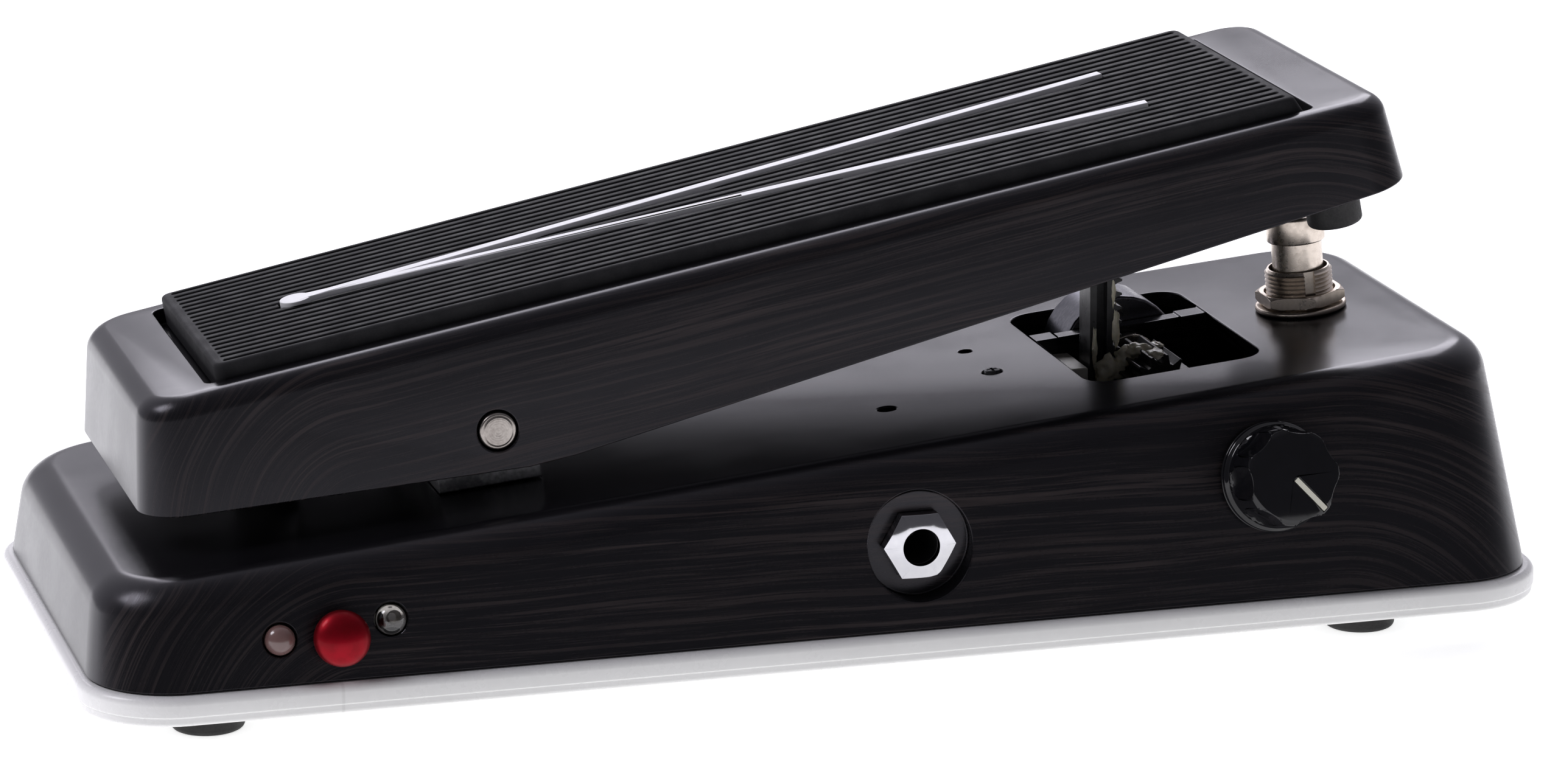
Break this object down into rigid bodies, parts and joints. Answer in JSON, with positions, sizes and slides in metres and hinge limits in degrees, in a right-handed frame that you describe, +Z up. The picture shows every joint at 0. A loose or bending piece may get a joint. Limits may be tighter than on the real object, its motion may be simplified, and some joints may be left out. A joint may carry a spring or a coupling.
{
  "type": "volume pedal",
  "caption": "Foot-operated instrument pedal: a rocking ribbed treadle over a wedge-shaped housing, with a rack-driven control, toe switch, side knob, push button and signal sockets.",
  "frame": {"origin": "centre of the bounding box, on the floor under the feet", "axes": "+X along the pedal toward the toe end, +Z up, the knob and lamps on the -Y side"},
  "size_m": [0.2554, 0.1148, 0.0913],
  "materials": {
    "shell": "satin black with a dark wood-grain film on its sides",
    "white_rubber": "glossy",
    "black_rubber": "matt",
    "zinc_steel": "zinc plated",
    "black_plastic": "matt",
    "chrome": "bright",
    "amber_lens": "tinted",
    "clear_lens": "clear",
    "red_metal": "metallic red",
    "gloss_black": "gloss",
    "ivory": "satin white",
    "nickel": "nickel plated",
    "cast_metal": "cast",
    "nylon": "natural",
    "board": "solder mask",
    "cell": "printed sleeve"
  },
  "bodies": {
    "base": {"housing": "shell", "base_gasket": "white_rubber", "base_plate": "zinc_steel", "foot_1": "black_rubber", "foot_2": "black_rubber", "foot_3": "black_rubber", "foot_4": "black_rubber", "base_screw_1": "zinc_steel", "base_screw_2": "zinc_steel", "base_screw_3": "zinc_steel", "base_screw_4": "zinc_steel", "input_jack": "black_plastic", "input_jack_nut": "chrome", "output_jack": "black_plastic", "output_jack_nut": "chrome", "led_1": "amber_lens", "led_2": "clear_lens", "button_switch": "black_plastic", "knob_pot": "zinc_steel", "knob_pot_nut": "nickel", "toe_switch": "nickel", "toe_switch_nut": "nickel", "toe_switch_washer": "nickel", "deck_plug": "black_plastic", "pivot_bracket": "cast_metal", "axle_bushing_1": "nylon", "axle_bushing_2": "nylon", "bracket_screw_1": "zinc_steel", "bracket_screw_2": "zinc_steel", "tension_bolt": "zinc_steel", "heel_stop": "black_rubber", "sweep_pot": "zinc_steel", "sweep_pot_nut": "nickel", "rack_guide": "nylon", "circuit_board": "board", "battery": "cell", "battery_snap": "black_plastic"},
    "treadle": {"treadle": "shell", "pad": "black_rubber", "pad_inlay": "ivory", "toe_bumper_1": "black_rubber", "toe_bumper_2": "black_rubber", "axle": "nickel", "rack_pin": "zinc_steel"},
    "rack": {"rack": "black_plastic"},
    "pinion": {"pinion": "black_plastic"},
    "knob": {"knob": "gloss_black", "knob_pointer": "ivory"},
    "button": {"button_cap": "red_metal"},
    "plunger": {"toe_switch_plunger": "nickel"}
  },
  "joints": [
    {"name": "treadle_pivot", "type": "hinge", "parent": "base", "child": "treadle", "pos_m": [-0.05525, 0.00298, 0.04437], "axis": [0, 1, 0], "range_deg": [0, 7.8]},
    {"name": "rack_pivot", "type": "hinge", "parent": "treadle", "child": "rack", "pos_m": [0.06105, 0.00298, 0.0705], "axis": [0, 1, 0], "range_deg": [-1.5, 1.5]},
    {"name": "pinion_spin", "type": "hinge", "parent": "base", "child": "pinion", "pos_m": [0.0694, 0.00298, 0.0366], "axis": [0, 1, 0], "range_deg": [-182, 4]},
    {"name": "plunger_press", "type": "slide", "parent": "base", "child": "plunger", "axis": [0.0929, 0, -0.9957], "range_m": [0, 0.0025], "stiffness_N_per_m": 2500},
    {"name": "button_press", "type": "slide", "parent": "base", "child": "button", "axis": [0, 0.9701, -0.2425], "range_m": [0, 0.0018], "stiffness_N_per_m": 900},
    {"name": "knob_turn", "type": "hinge", "parent": "base", "child": "knob", "pos_m": [0.0766, -0.04469, 0.0294], "axis": [0, -0.9701, 0.2425], "range_deg": [-12, 288]}
  ],
  "couplings": [
    {"joint": "rack_pivot", "follows": "treadle_pivot", "ratio": -0.03},
    {"joint": "pinion_spin", "follows": "treadle_pivot", "ratio": -22.93}
  ]
}
